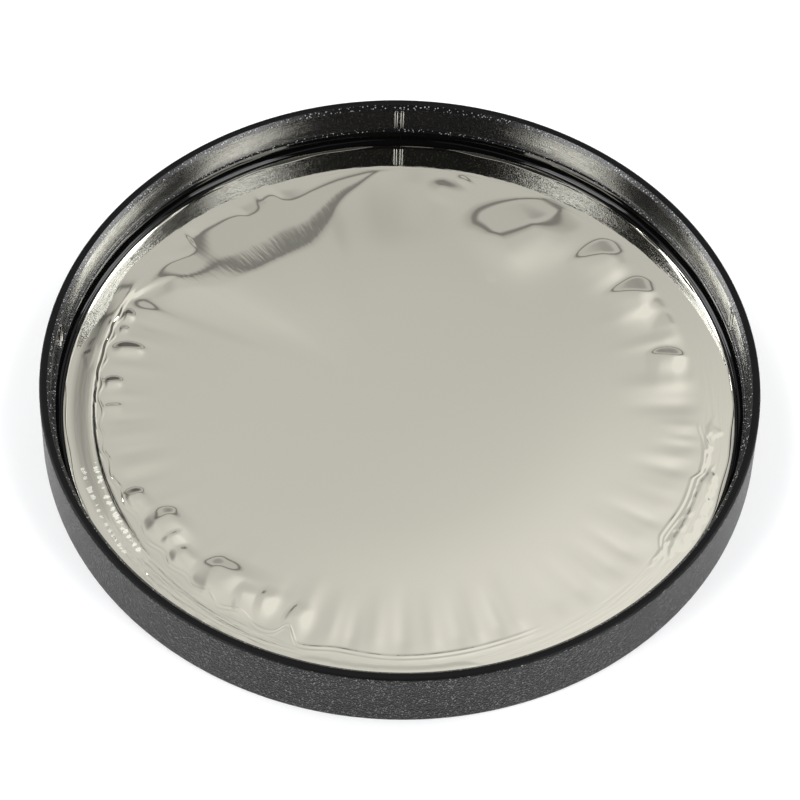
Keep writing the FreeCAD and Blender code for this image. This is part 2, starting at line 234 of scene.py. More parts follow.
def petals(x, y):
    total = np.zeros_like(x)
    for inner, outer, widest, steep, gentle, bow, skew in PETALS:
        ax, ay = from_polar(inner)
        bx, by = from_polar(outer)
        length = math.hypot(bx - ax, by - ay)
        ex, ey = (bx - ax) / length, (by - ay) / length
        side = 1 if ex > 0 else -1
        along = ((x - ax) * ex + (y - ay) * ey) / length
        across = side * ((y - ay) * ex - (x - ax) * ey)
        bell = np.sin(np.pi * np.clip(along, 0, 1) ** (math.log(0.5) / math.log(skew)))
        across = across - bow * bell
        wide = np.maximum(widest * bell**0.7, 0.05)
        near = hump(np.minimum(across, 0), gentle)
        ease = 0.12 + 0.30 * (1 - np.clip(along, 0, 1))
        fade = smooth(0, 0.34, along) * (1 - smooth(0.60, 1, along))
        total += steep * fade * wide * (1 - ease - even_fall(across / wide, ease)) * near
    return total


def puckers(radius, angle):
    total = np.zeros_like(radius)
    for middle, inner, outer, wide, height in PUCKERS:
        turn = np.radians((angle - middle + 180) % 360 - 180)
        near = np.abs(turn) < 0.5
        aside = radius * np.sin(turn) / wide
        climb = smooth(inner * OUTER, (0.2 * inner + 0.8 * outer) * OUTER, radius)
        fall = 1 - smooth((outer - 0.06) * OUTER, (outer + 0.015) * OUTER, radius)
        total += np.where(near, height * hump(aside, 1.0) * climb * fall, 0)
    return total


def bead(radius, angle, bond):
    """The film is lifted in a thin line where it leaves the adhesive."""
    strong = smooth(156, 164, angle) * (1 - smooth(285, 300, angle))
    strong = strong + smooth(324, 330, angle) * (1 - smooth(352, 358, angle))
    strong = strong * (0.8 + 0.4 * np.sin(np.radians(angle * 23)) * np.sin(np.radians(angle * 41 + 20)))
    away = radius - bond
    strong = strong * (1 - 0.35 * smooth(204, 209, angle) * (1 - smooth(248, 254, angle)))
    return strong * (0.046 * hump(away, 0.28) + 0.026 * hump(away - 0.95, 0.30))


def edge_lip(radius, angle):
    """The trimmed edge curls up past the tape, a little more here and less there."""
    waver = 0.30 * np.sin(np.radians(9 * angle)) + 0.14 * np.sin(np.radians(31 * angle + 40))
    return 0.50 * soft_ramp(radius - 67.25 - waver, 0.04)


# Patches of adhesive that lift the bonded film: first and last angle, middle and half width
# as shares of the radius, and height in mm.
PATCHES = [
    (326.0, 349.0, 0.892, 0.020, 0.105), (322.0, 358.0, 0.866, 0.005, 0.040), (252.0, 287.0, 0.890, 0.018, 0.045),
    (218.0, 246.0, 0.885, 0.020, 0.030), (166.0, 176.0, 0.885, 0.012, 0.020), (352.0, 360.0, 0.880, 0.022, 0.030),
]


def adhesive(radius, angle):
    total = np.zeros_like(radius)
    ragged = 0.6 * np.sin(np.radians(angle * 37)) * np.sin(np.radians(angle * 61 + 50))
    ragged = ragged + 0.35 * np.sin(np.radians(angle * 113 + 20)) + 0.2 * np.sin(np.radians(angle * 191))
    # at the left the film slopes down from the seam over the whole tape
    slope = smooth(150, 162, angle) * (1 - smooth(205, 222, angle))
    total += 0.36 * slope * smooth(60.9, 62.2, radius) * (1 - smooth(61.2, 67.2, radius))
    for first, last, middle, half, height in PATCHES:
        ends = smooth(first, first + 5, angle) * (1 - smooth(last - 5, last, angle))
        outside = np.abs(radius - middle * OUTER + 0.5 * ragged) - half * OUTER * ends + 0.4 * ragged
        total += height * ends * (1 - smooth(-0.35, 0.35, outside))
    return total


def rise(x, y):
    """Height of the film in mm over its bonded plane, at x and y in mm."""
    radius = np.hypot(x, y)
    angle = np.degrees(np.arctan2(y, x)) % 360
    bond = curve_through(BOND, angle)
    return (
        slack(radius, angle)
        + petals(x, y)
        + puckers(radius, angle)
        + bead(radius, angle, bond)
        + edge_lip(radius, angle)
        + adhesive(radius, angle)
    )


# ---- end of the film's shape ----


def linear(hex_colour):
    """An sRGB hex colour as linear RGBA."""
    channels = [int(hex_colour[i : i + 2], 16) / 255 for i in (1, 3, 5)]
    return [c / 12.92 if c <= 0.04045 else ((c + 0.055) / 1.055) ** 2.4 for c in channels] + [1]


def add(tree, kind, inputs=(), **settings):
    """A node with its settings. Inputs are (socket name or index, value or output to link)."""
    node = tree.nodes.new(kind)
    for name, value in settings.items():
        setattr(node, name, value)
    for key, value in inputs:
        if isinstance(value, bpy.types.NodeSocket):
            tree.links.new(value, node.inputs[key])
        else:
            node.inputs[key].default_value = value
    return node


# ---- camera ----

eye = Vector((0, -0.4749, 0.6567))
aim = Vector((0.0001, 0, 0.00585))
back = (eye - aim).normalized()
right = Vector((0, 0, 1)).cross(back).normalized()
up = back.cross(right)
roll = math.radians(1.7143)
right, up = (
    right * math.cos(roll) + up * math.sin(roll),
    up * math.cos(roll) - right * math.sin(roll),
)
camera_data = bpy.data.cameras.new("camera")
camera_data.lens = 180
camera_data.sensor_width = 36
camera = bpy.data.objects.new("camera", camera_data)
camera.matrix_world = Matrix.Translation(eye) @ Matrix((right, up, back)).transposed().to_4x4()
bpy.context.collection.objects.link(camera)
scene = bpy.context.scene
scene.camera = camera
scene.view_settings.view_transform = "Standard"


# ---- light ----

# The studio: a broad white ceiling panel with a dark frame, grey beyond its far edge, and a
# dark gap where the camera stands. Read as a picture on a ceiling one unit up: u to the
# right, v away from the camera.
world = bpy.data.worlds.new("studio")
world.use_nodes = True
scene.world = world
tree = world.node_tree
tree.nodes.clear()
direction = add(tree, "ShaderNodeTexCoord").outputs["Generated"]
parts = add(tree, "ShaderNodeSeparateXYZ", [(0, direction)])
height = add(tree, "ShaderNodeMath", [(0, parts.outputs[2]), (1, 0.05)], operation="MAXIMUM")
u = add(tree, "ShaderNodeMath", [
    (0, parts.outputs[0]), (1, height.outputs[0]),
], operation="DIVIDE").outputs[0]
v = add(tree, "ShaderNodeMath", [
    (0, parts.outputs[1]), (1, height.outputs[0]),
], operation="DIVIDE").outputs[0]


# brighter towards the camera's right: across the panel from far left to near right
nearer = add(tree, "ShaderNodeMath", [(0, 0.7236), (1, v)], operation="SUBTRACT").outputs[0]
nearer = add(tree, "ShaderNodeMath", [(0, nearer), (1, 0.09)], operation="MINIMUM").outputs[0]
slant = add(tree, "ShaderNodeMath", [(0, u), (1, nearer)], operation="ADD").outputs[0]
slant = add(tree, "ShaderNodeMath", [(0, slant), (1, 0.11 * 1.414)], operation="DIVIDE").outputs[0]
slant = add(tree, "ShaderNodeClamp", [("Value", slant), ("Max", 1.07)]).outputs[0]
panel = add(tree, "ShaderNodeMath", [(0, slant), (1, slant)], operation="MULTIPLY").outputs[0]
panel = add(tree, "ShaderNodeMath", [(0, panel), (1, 0.33), (2, 0.67)], operation="MULTIPLY_ADD").outputs[0]
# brighter where the panel comes nearer too, and a little darker at its far edge
near_side = add(tree, "ShaderNodeMapRange", [
    ("Value", v), ("From Min", 0.90), ("From Max", 0.30), ("To Min", -0.06), ("To Max", 0.24),
]).outputs[0]
panel = add(tree, "ShaderNodeMath", [(0, panel), (1, near_side)], operation="ADD").outputs[0]
panel = add(tree, "ShaderNodeMath", [(0, panel), (1, 1.05)], operation="MINIMUM").outputs[0]
far_edge = add(tree, "ShaderNodeMapRange", [
    ("Value", v), ("From Min", 0.820), ("From Max", 0.862), ("To Min", 1.0), ("To Max", 0.80),
], interpolation_type="SMOOTHSTEP").outputs[0]
panel = add(tree, "ShaderNodeMath", [(0, panel), (1, far_edge)], operation="MULTIPLY").outputs[0]
# grey beyond the panel, and the panel's dark frame between the two
grey = add(tree, "ShaderNodeMapRange", [
    ("Value", v), ("From Min", 0.950), ("From Max", 1.000), ("To Min", 0.61), ("To Max", 0.42),
], interpolation_type="SMOOTHSTEP").outputs[0]
farther = add(tree, "ShaderNodeMapRange", [
    ("Value", v), ("From Min", 1.00), ("From Max", 1.10), ("To Min", 1.0), ("To Max", 0.35),
], interpolation_type="SMOOTHSTEP").outputs[0]
grey = add(tree, "ShaderNodeMath", [(0, grey), (1, farther)], operation="MULTIPLY").outputs[0]
beyond = add(tree, "ShaderNodeMath", [(0, v), (1, 0.883)], operation="GREATER_THAN").outputs[0]
sky = add(tree, "ShaderNodeMix", [("Factor", beyond), ("A", panel), ("B", grey)]).outputs[0]
frame_near = add(tree, "ShaderNodeMapRange", [
    ("Value", v), ("From Min", 0.856), ("From Max", 0.874),
], interpolation_type="SMOOTHSTEP").outputs[0]
frame_far = add(tree, "ShaderNodeMapRange", [
    ("Value", v), ("From Min", 0.884), ("From Max", 0.912), ("To Min", 1.0), ("To Max", 0.0),
], interpolation_type="SMOOTHSTEP").outputs[0]
line = add(tree, "ShaderNodeMath", [(0, frame_near), (1, frame_far)], operation="MULTIPLY").outputs[0]
sky = add(tree, "ShaderNodeMix", [("Factor", line), ("A", sky), ("B", 0.25)]).outputs[0]
# dimmer out at the panel's sides, and most at the left
aside = add(tree, "ShaderNodeMath", [(0, u)], operation="ABSOLUTE").outputs[0]
sides = add(tree, "ShaderNodeMapRange", [
    ("Value", aside), ("From Min", 0.36), ("From Max", 0.60), ("To Min", 0.8), ("To Max", 0.8 * 0.15),
], interpolation_type="SMOOTHSTEP").outputs[0]
left = add(tree, "ShaderNodeMapRange", [
    ("Value", u), ("From Min", -0.34), ("From Max", -0.16), ("To Min", 0.40), ("To Max", 1.0),
], interpolation_type="SMOOTHSTEP").outputs[0]
sky = add(tree, "ShaderNodeMath", [(0, sky), (1, sides)], operation="MULTIPLY").outputs[0]
sky = add(tree, "ShaderNodeMath", [(0, sky), (1, left)], operation="MULTIPLY").outputs[0]
# soft grey walls low down all round, which the film shows from the sides
spot = add(tree, "ShaderNodeCombineXYZ", [(0, u), (1, v)]).outputs[0]
out_there = add(tree, "ShaderNodeVectorMath", [(0, spot)], operation="LENGTH").outputs["Value"]
walls = add(tree, "ShaderNodeMapRange", [
    ("Value", out_there), ("From Min", 1.25), ("From Max", 1.75), ("To Max", 0.55),
], interpolation_type="SMOOTHSTEP").outputs[0]
sky = add(tree, "ShaderNodeMath", [(0, sky), (1, walls)], operation="MAXIMUM").outputs[0]
# the dark gap round the camera
gap_u = add(tree, "ShaderNodeMath", [(0, u), (1, 0.8)], operation="MULTIPLY").outputs[0]
gap_v = add(tree, "ShaderNodeMath", [(0, v), (1, 0.65)], operation="ADD").outputs[0]
gap_v = add(tree, "ShaderNodeMath", [(0, gap_v), (1, 0.0)], operation="MAXIMUM").outputs[0]
gap = add(tree, "ShaderNodeCombineXYZ", [(0, gap_u), (1, gap_v)]).outputs[0]
gap = add(tree, "ShaderNodeVectorMath", [(0, gap)], operation="LENGTH").outputs["Value"]
gap = add(tree, "ShaderNodeMapRange", [
    ("Value", gap), ("From Min", 0.75), ("From Max", 1.00), ("To Min", 0.06), ("To Max", 1.0),
], interpolation_type="SMOOTHSTEP").outputs[0]
sky = add(tree, "ShaderNodeMath", [(0, sky), (1, gap)], operation="MULTIPLY").outputs[0]
# the camera itself sees plain white behind the floor
rays = add(tree, "ShaderNodeLightPath")
sky = add(tree, "ShaderNodeMix", [
    ("Factor", rays.outputs["Is Camera Ray"]), ("A", sky), ("B", 1.0),
]).outputs[0]
background = add(tree, "ShaderNodeBackground", [("Color", (1, 1, 1, 1)), ("Strength", sky)])
add(tree, "ShaderNodeOutputWorld", [("Surface", background.outputs[0])])

# Softboxes at the sides, out of the film's view: azimuth and elevation of the centre, width
# and height in degrees, radiance. The socket wall shows the high ones by way of the film, and
# the glossy plastic below the ledge shows the low ones.
SOFTBOXES = [
    ("left_high", 141, 53, 18, 16, 6.8), ("left_low", 168, 24, 26, 34, 5.0),
    ("near_left_high", 212, 53, 16, 16, 8.8), ("near_left_low", 217, 24, 26, 34, 5.0),
    ("near_right_high", 328, 53, 15, 16, 8.8), ("near_right_low", 322, 24, 24, 34, 5.0),
    ("right_high", 27, 53, 18, 16, 6.8), ("right_low", 6, 24, 24, 34, 5.0),
]
REACH = 2.0
for name, azimuth, elevation, wide, tall, radiance in SOFTBOXES:
    a, e = math.radians(azimuth), math.radians(elevation)
    towards = Vector((math.cos(a) * math.cos(e), math.sin(a) * math.cos(e), math.sin(e)))
    lamp = bpy.data.lights.new(name, "AREA")
    lamp.shape = "RECTANGLE"
    lamp.size = 2 * REACH * math.tan(math.radians(wide / 2))
    lamp.size_y = 2 * REACH * math.tan(math.radians(tall / 2))
    lamp.energy = radiance * math.pi * lamp.size * lamp.size_y
    # a little cool, because the film warms what it shows
    if name.endswith("high"):
        lamp.color = (0.96, 0.975, 1.0)
    holder = bpy.data.objects.new(name, lamp)
    holder.location = towards * REACH
    holder.rotation_mode = "QUATERNION"
    holder.rotation_quaternion = (-towards).to_track_quat("-Z", "Y")
    bpy.context.collection.objects.link(holder)


# ---- floor ----

floor_mesh = bpy.data.meshes.new("floor")
floor_mesh.from_pydata([(-3, -3, 0), (3, -3, 0), (3, 3, 0), (-3, 3, 0)], [], [(0, 1, 2, 3)])
floor = bpy.data.objects.new("floor", floor_mesh)
bpy.context.collection.objects.link(floor)
paper = bpy.data.materials.new("white_paper_floor")
paper.use_nodes = True
tree = paper.node_tree
tree.nodes.clear()
rays = add(tree, "ShaderNodeLightPath")
seen = add(tree, "ShaderNodeMath", [
    (0, rays.outputs["Is Camera Ray"]), (1, rays.outputs["Is Glossy Ray"]),
], operation="MAXIMUM")
seen = add(tree, "ShaderNodeMath", [
    (0, seen.outputs[0]), (1, rays.outputs["Is Transmission Ray"]),
], operation="MAXIMUM")
matte = add(tree, "ShaderNodeBsdfDiffuse", [("Color", linear("#e6e6e6"))])
glow = add(tree, "ShaderNodeMath", [(0, seen.outputs[0]), (1, 0.24)], operation="MULTIPLY")
glow = add(tree, "ShaderNodeEmission", [("Strength", glow.outputs[0])])
both = add(tree, "ShaderNodeAddShader", [(0, matte.outputs[0]), (1, glow.outputs[0])])
add(tree, "ShaderNodeOutputMaterial", [("Surface", both.outputs[0])])
floor_mesh.materials.append(paper)


# ---- materials ----


def new_material(name):
    made = bpy.data.materials.new(name)
    made.use_nodes = True
    made.node_tree.nodes.clear()
    return made


def around(tree, round_way, out_way, radius, along, across):
    """Noise coordinates that run round the axis: grain length along the turn, and across it."""
    turned_way = add(tree, "ShaderNodeVectorMath", [
        (0, round_way), ("Scale", radius / along),
    ], operation="SCALE").outputs[0]
    stretched = add(tree, "ShaderNodeMath", [(0, out_way), (1, 1 / across)], operation="MULTIPLY").outputs[0]
    lifted = add(tree, "ShaderNodeCombineXYZ", [(2, stretched)]).outputs[0]
    return add(tree, "ShaderNodeVectorMath", [(0, turned_way), (1, lifted)], operation="ADD").outputs[0]


# ABS, injection moulded against spark-eroded steel: a matt black skin of small round pits
# whose flanks glint.
grained_abs = new_material("grained_black_abs")
tree = grained_abs.node_tree
place = add(tree, "ShaderNodeTexCoord").outputs["Object"]
# pits 0.40 mm apart, on an unevenness of 0.7 mm
pits = add(tree, "ShaderNodeTexVoronoi", [
    ("Vector", place), ("Scale", 1 / (0.40 * MM)),
], feature="F1").outputs["Distance"]
rough = add(tree, "ShaderNodeTexNoise", [
    ("Vector", place), ("Scale", 1 / (0.7 * MM)), ("Detail", 2.0), ("Roughness", 0.6),
])
relief = add(tree, "ShaderNodeMath", [(0, rough.outputs[0]), (1, pits)], operation="SUBTRACT").outputs[0]
bump = add(tree, "ShaderNodeBump", [("Strength", 1.0), ("Distance", 0.20 * MM), ("Height", relief)])
# painted glints and shade: the grain's raised tips are coloured pale as glints, and its pits near black as their
# shade
painted_glints = add(tree, "ShaderNodeMapRange", [("Value", relief), ("From Min", 0.20), ("From Max", 0.44)]).outputs[0]
tone = add(tree, "ShaderNodeMix", [
    ("Factor", painted_glints), ("A", linear("#050505")), ("B", linear("#8c8c8c")),
], data_type="RGBA").outputs["Result"]
skin = add(tree, "ShaderNodeBsdfPrincipled", [
    ("Base Color", tone), ("Roughness", 0.30), ("IOR", 1.54), ("Specular IOR Level", 0.20),
    ("Normal", bump.outputs[0]),
])
add(tree, "ShaderNodeOutputMaterial", [("Surface", skin.outputs[0])])

# The same grain in the socket, dragged round by the tubes that went in.
socket_abs = new_material("scuffed_black_abs")
tree = socket_abs.node_tree
place = add(tree, "ShaderNodeTexCoord").outputs["Object"]
flat = add(tree, "ShaderNodeVectorMath", [(0, place), (1, (1, 1, 0))], operation="MULTIPLY").outputs[0]
round_way = add(tree, "ShaderNodeVectorMath", [(0, flat)], operation="NORMALIZE").outputs[0]
level = add(tree, "ShaderNodeSeparateXYZ", [(0, place)]).outputs[2]
# grain of 0.28 mm, scuffs of 5 by 0.5 mm along the turn, and painted glints: pale specks 0.55 mm apart,
# faint all over and strong at the two edges of the wall
pits = add(tree, "ShaderNodeTexNoise", [
    ("Vector", place), ("Scale", 1 / (0.28 * MM)), ("Detail", 1.0), ("Roughness", 0.5),
])
scuffs = add(tree, "ShaderNodeTexNoise", [
    ("Vector", around(tree, round_way, level, BORE * MM, 5 * MM, 0.5 * MM)), ("Scale", 1.0),
    ("Detail", 3.0),
])
relief = add(tree, "ShaderNodeMath", [
    (0, scuffs.outputs[0]), (1, 2.5), (2, pits.outputs[0]),
], operation="MULTIPLY_ADD").outputs[0]
bump = add(tree, "ShaderNodeBump", [("Strength", 1.0), ("Distance", 0.035 * MM), ("Height", relief)])
lead = add(tree, "ShaderNodeMapRange", [
    ("Value", level), ("From Min", 13.72 * MM), ("From Max", 13.82 * MM),
]).outputs[0]
ledge = add(tree, "ShaderNodeMapRange", [
    ("Value", level), ("From Min", 7.62 * MM), ("From Max", 7.52 * MM),
]).outputs[0]
edge = add(tree, "ShaderNodeMath", [(0, lead), (1, ledge)], operation="MAXIMUM").outputs[0]
painted_glints = add(tree, "ShaderNodeMath", [(0, edge), (1, 0.92), (2, 0.08)], operation="MULTIPLY_ADD").outputs[0]
cells = add(tree, "ShaderNodeTexVoronoi", [
    ("Vector", place), ("Scale", 1 / (0.55 * MM)),
], feature="F1").outputs["Distance"]
glint_specks = add(tree, "ShaderNodeMapRange", [("Value", cells), ("From Min", 0.30), ("From Max", 0.14)]).outputs[0]
painted_glints = add(tree, "ShaderNodeMath", [(0, painted_glints), (1, glint_specks)], operation="MULTIPLY").outputs[0]
# painted glints: the specks are pale spots in the wall's colour that stand in for sparkle, most of all at its
# edges
tone = add(tree, "ShaderNodeMix", [
    ("Factor", painted_glints), ("A", linear("#101010")), ("B", linear("#9c9c9c")),
], data_type="RGBA").outputs["Result"]
skin = add(tree, "ShaderNodeBsdfPrincipled", [
    ("Base Color", tone), ("Roughness", 0.16), ("IOR", 1.54), ("Specular IOR Level", 0.6),
    ("Normal", bump.outputs[0]),
])
add(tree, "ShaderNodeOutputMaterial", [("Surface", skin.outputs[0])])

# The same ABS on the rim, rubbed smooth: dull black with little gloss.
satin_abs = new_material("satin_black_abs")
tree = satin_abs.node_tree
place = add(tree, "ShaderNodeTexCoord").outputs["Object"]
rub = add(tree, "ShaderNodeTexNoise", [
    ("Vector", place), ("Scale", 1 / (2.5 * MM)), ("Detail", 4.0), ("Roughness", 0.6),
])
bump = add(tree, "ShaderNodeBump", [("Strength", 1.0), ("Distance", 0.05 * MM), ("Height", rub.outputs[0])])
shine = add(tree, "ShaderNodeMapRange", [
    ("Value", rub.outputs[0]), ("To Min", 0.22), ("To Max", 0.42),
]).outputs[0]
skin = add(tree, "ShaderNodeBsdfPrincipled", [
    ("Base Color", linear("#101010")), ("Roughness", shine), ("IOR", 1.54), ("Specular IOR Level", 0.1),
    ("Normal", bump.outputs[0]),
])
add(tree, "ShaderNodeOutputMaterial", [("Surface", skin.outputs[0])])

# The same ABS against polished steel: deep glossy black, with a little flow in it.
polished_abs = new_material("polished_black_abs")
tree = polished_abs.node_tree
place = add(tree, "ShaderNodeTexCoord").outputs["Object"]
flow = add(tree, "ShaderNodeTexNoise", [("Vector", place), ("Scale", 1 / (6 * MM)), ("Detail", 1.0)])
bump = add(tree, "ShaderNodeBump", [("Strength", 1.0), ("Distance", 0.06 * MM), ("Height", flow.outputs[0])])
skin = add(tree, "ShaderNodeBsdfPrincipled", [
    ("Base Color", linear("#060606")), ("Roughness", 0.05), ("IOR", 1.54), ("Specular IOR Level", 0.28),
    ("Normal", bump.outputs[0]),
])
add(tree, "ShaderNodeOutputMaterial", [("Surface", skin.outputs[0])])

# The grip ridges: the same polished ABS, rubbed to a stronger gloss by the tubes.
rubbed_abs = polished_abs.copy()
rubbed_abs.name = "rubbed_black_abs"
rubbed_abs.node_tree.nodes["Principled BSDF"].inputs["Specular IOR Level"].default_value = 1.0

# Polyester film with a vapour-deposited metal coat: a slightly warm, near-perfect mirror.
mirror_film = new_material("metallised_polyester_film")
tree = mirror_film.node_tree
place = add(tree, "ShaderNodeTexCoord").outputs["Object"]
flat = add(tree, "ShaderNodeVectorMath", [(0, place), (1, (1, 1, 0))], operation="MULTIPLY").outputs[0]
far = add(tree, "ShaderNodeVectorMath", [(0, flat)], operation="LENGTH").outputs["Value"]
round_way = add(tree, "ShaderNodeVectorMath", [(0, flat)], operation="NORMALIZE").outputs[0]
# wrinkles 1 mm wide and 7 mm long in the fold, and adhesive streaks of 9 by 0.8 mm round the
# ring
wrinkles = add(tree, "ShaderNodeTexNoise", [
    ("Vector", around(tree, round_way, far, 50 * MM, 1.0 * MM, 7 * MM)), ("Scale", 1.0), ("Detail", 3.0),
    ("Roughness", 0.6),
])
streaks = add(tree, "ShaderNodeTexNoise", [
    ("Vector", around(tree, round_way, far, 63 * MM, 9 * MM, 0.8 * MM)), ("Scale", 1.0), ("Detail", 3.0),
])
wrinkled = add(tree, "ShaderNodeAttribute", attribute_name="wrinkled").outputs["Fac"]
streaked = add(tree, "ShaderNodeAttribute", attribute_name="streaked").outputs["Fac"]
wrinkles = add(tree, "ShaderNodeMath", [(0, wrinkles.outputs[0]), (1, 0.5)], operation="SUBTRACT").outputs[0]
streaks = add(tree, "ShaderNodeMath", [(0, streaks.outputs[0]), (1, 0.5)], operation="SUBTRACT").outputs[0]
wrinkled = add(tree, "ShaderNodeMath", [(0, wrinkles), (1, wrinkled)], operation="MULTIPLY").outputs[0]
streaked = add(tree, "ShaderNodeMath", [(0, streaks), (1, streaked)], operation="MULTIPLY").outputs[0]
relief = add(tree, "ShaderNodeMath", [
    (0, wrinkled), (1, 0.06), (2, streaked),
], operation="MULTIPLY_ADD").outputs[0]
bump = add(tree, "ShaderNodeBump", [("Strength", 1.0), ("Distance", 0.12 * MM), ("Height", relief)])
skin = add(tree, "ShaderNodeBsdfPrincipled", [
    ("Base Color", linear("#f3f0e1")), ("Metallic", 1.0), ("Roughness", 0.03), ("Normal", bump.outputs[0]),
])
# beads of adhesive squeezed out and dried white
beads = add(tree, "ShaderNodeTexNoise", [
    ("Vector", around(tree, round_way, far, 63 * MM, 0.75 * MM, 2.6 * MM)), ("Scale", 1.0), ("Detail", 1.0),
])
glued = add(tree, "ShaderNodeAttribute", attribute_name="glued").outputs["Fac"]
glued = add(tree, "ShaderNodeMath", [(0, beads.outputs[0]), (1, glued)], operation="MULTIPLY").outputs[0]
glued = add(tree, "ShaderNodeMapRange", [("Value", glued), ("From Min", 0.50), ("From Max", 0.58)]).outputs[0]
glue = add(tree, "ShaderNodeBsdfPrincipled", [("Base Color", linear("#eceadd")), ("Roughness", 0.35)])
skin = add(tree, "ShaderNodeMixShader", [(0, glued), (1, skin.outputs[0]), (2, glue.outputs[0])])
add(tree, "ShaderNodeOutputMaterial", [("Surface", skin.outputs[0])])

# Double-sided tape: pale, slightly warm, satin.
tape = new_material("double_sided_tape")
tree = tape.node_tree
place = add(tree, "ShaderNodeTexCoord").outputs["Object"]
cloudy = add(tree, "ShaderNodeTexNoise", [
    ("Vector", place), ("Scale", 1 / (1.5 * MM)), ("Detail", 3.0),
]).outputs[0]
tone = add(tree, "ShaderNodeMix", [
    ("Factor", cloudy), ("A", linear("#c2beae")), ("B", linear("#dad7ca")),
], data_type="RGBA").outputs["Result"]
skin = add(tree, "ShaderNodeBsdfPrincipled", [("Base Color", tone), ("Roughness", 0.45)])
add(tree, "ShaderNodeOutputMaterial", [("Surface", skin.outputs[0])])


# ---- filter cell ----


def new_tree(name, sizes):
    """A geometry node tree with named inputs for its sizes, given as (name, value)."""
    made = bpy.data.node_groups.new(name, "GeometryNodeTree")
    made.interface.new_socket("Geometry", in_out="OUTPUT", socket_type="NodeSocketGeometry")
    made.interface.new_socket("Geometry", in_out="INPUT", socket_type="NodeSocketGeometry")
    for label, value in sizes:
        kind = "NodeSocketInt" if isinstance(value, int) else "NodeSocketFloat"
        made.interface.new_socket(label, in_out="INPUT", socket_type=kind)
    return made


def grow(name, tree, start_mesh, sizes):
    """Run a tree on a starting mesh and hand back the plain mesh it makes."""
    holder = bpy.data.objects.new(name + "_start", start_mesh)
    bpy.context.collection.objects.link(holder)
    modifier = holder.modifiers.new("nodes", "NODES")
    modifier.node_group = tree
    sockets = {s.name: s.identifier for s in tree.interface.items_tree if s.in_out == "INPUT"}
    for label, value in sizes:
        modifier[sockets[label]] = value
    seen = holder.evaluated_get(bpy.context.evaluated_depsgraph_get())
    made = bpy.data.meshes.new_from_object(seen)
    made.name = name
    bpy.data.objects.remove(holder)
    piece = bpy.data.objects.new(name, made)
    bpy.context.collection.objects.link(piece)
    return piece


def arc(centre, radius, start, stop, steps):
    """Points on a fillet of the cell's section, angles in degrees."""
    turns = [math.radians(start + (stop - start) * i / steps) for i in range(steps + 1)]
    return [(centre[0] + radius * math.cos(t), centre[1] + radius * math.sin(t)) for t in turns]


# The section, as (radius, height): up the outside, over the rim, down the socket, over the
# ledge and the flange to the aperture, and back along the underside.
section = (
    arc((SKIN - 0.6, 0.6), 0.6, -90, 0, 6)
    + [(SKIN, z) for z in (3, 6, 9, 12)]
    + arc((SKIN - 0.5, RIM - 0.5), 0.5, 0, 90, 6)
    + arc((70.5, 14.38), 0.12, 90, 135, 3)
    + arc((BORE + 0.12, 13.7), 0.12, 135, 180, 3)
    + [(BORE, z) for z in (12, 10, 8.5, SEAT + 0.05)]
    + [(BORE - 0.05, SEAT)]
    + arc((69.2, 7.3), 0.1, 90, 180, 3)
    + arc((LOWER_WALL - 1.2, FLANGE_TOP + 1.2), 1.2, 0, -90, 10)
    + [(r, FLANGE_TOP) for r in (66, 64, 62)]
    + arc((APERTURE + 0.5, FLANGE_TOP - 0.5), 0.5, 90, 180, 5)
    + arc((APERTURE + 0.5, RECESS + 0.5), 0.5, 180, 270, 5)
    + [(64, RECESS)]
    + arc((LOWER_WALL - 0.8, RECESS - 0.8), 0.8, 90, 0, 6)
    + [(LOWER_WALL, 0.12), (LOWER_WALL + 0.12, 0.0)]
)
section_mesh = bpy.data.meshes.new("section")
section_mesh.from_pydata([(r * MM, 0, z * MM) for r, z in section], [], [])

# The cell is turned: each point of the section is repeated round the axis. The grid's long
# side becomes the turn and its short side the section, and the edges that meet are merged.
turned = new_tree("turned_cell", [("Section points", 1), ("Turns", 1)])
given = add(turned, "NodeGroupInput").outputs
rows = add(turned, "ShaderNodeMath", [(0, given["Section points"]), (1, 1.0)], operation="ADD").outputs[0]
columns = add(turned, "ShaderNodeMath", [(0, given["Turns"]), (1, 1.0)], operation="ADD").outputs[0]
grid = add(turned, "GeometryNodeMeshGrid", [("Vertices X", columns), ("Vertices Y", rows)]).outputs["Mesh"]
index = add(turned, "GeometryNodeInputIndex").outputs[0]
step = add(turned, "ShaderNodeMath", [(0, index), (1, rows)], operation="DIVIDE").outputs[0]
step = add(turned, "ShaderNodeMath", [(0, step)], operation="FLOOR").outputs[0]
place = add(turned, "ShaderNodeMath", [(0, index), (1, rows)], operation="MODULO").outputs[0]
place = add(turned, "ShaderNodeMath", [
    (0, place), (1, given["Section points"]),
], operation="MODULO").outputs[0]
spot = add(turned, "GeometryNodeInputPosition").outputs[0]
spot = add(
    turned, "GeometryNodeSampleIndex",
    [("Geometry", given["Geometry"]), ("Value", spot), ("Index", place)], data_type="FLOAT_VECTOR",
).outputs[0]
share = add(turned, "ShaderNodeMath", [(0, step), (1, given["Turns"])], operation="DIVIDE").outputs[0]
turn = add(turned, "ShaderNodeMath", [(0, share), (1, 2 * math.pi)], operation="MULTIPLY").outputs[0]
spot = add(
    turned, "ShaderNodeVectorRotate", [("Vector", spot), ("Angle", turn)], rotation_type="Z_AXIS"
).outputs[0]
body = add(turned, "GeometryNodeSetPosition", [("Geometry", grid), ("Position", spot)]).outputs[0]
body = add(turned, "GeometryNodeMergeByDistance", [("Geometry", body), ("Distance", 0.002 * MM)]).outputs[0]
body = add(turned, "GeometryNodeRealizeInstances", [("Geometry", body)]).outputs[0]
body = add(turned, "GeometryNodeSetMaterial", [("Geometry", body), ("Material", grained_abs)]).outputs[0]
add(turned, "NodeGroupOutput", [("Geometry", body)])
cell = grow("filter_cell_dressed", turned, section_mesh, [("Section points", len(section)), ("Turns", 960)])

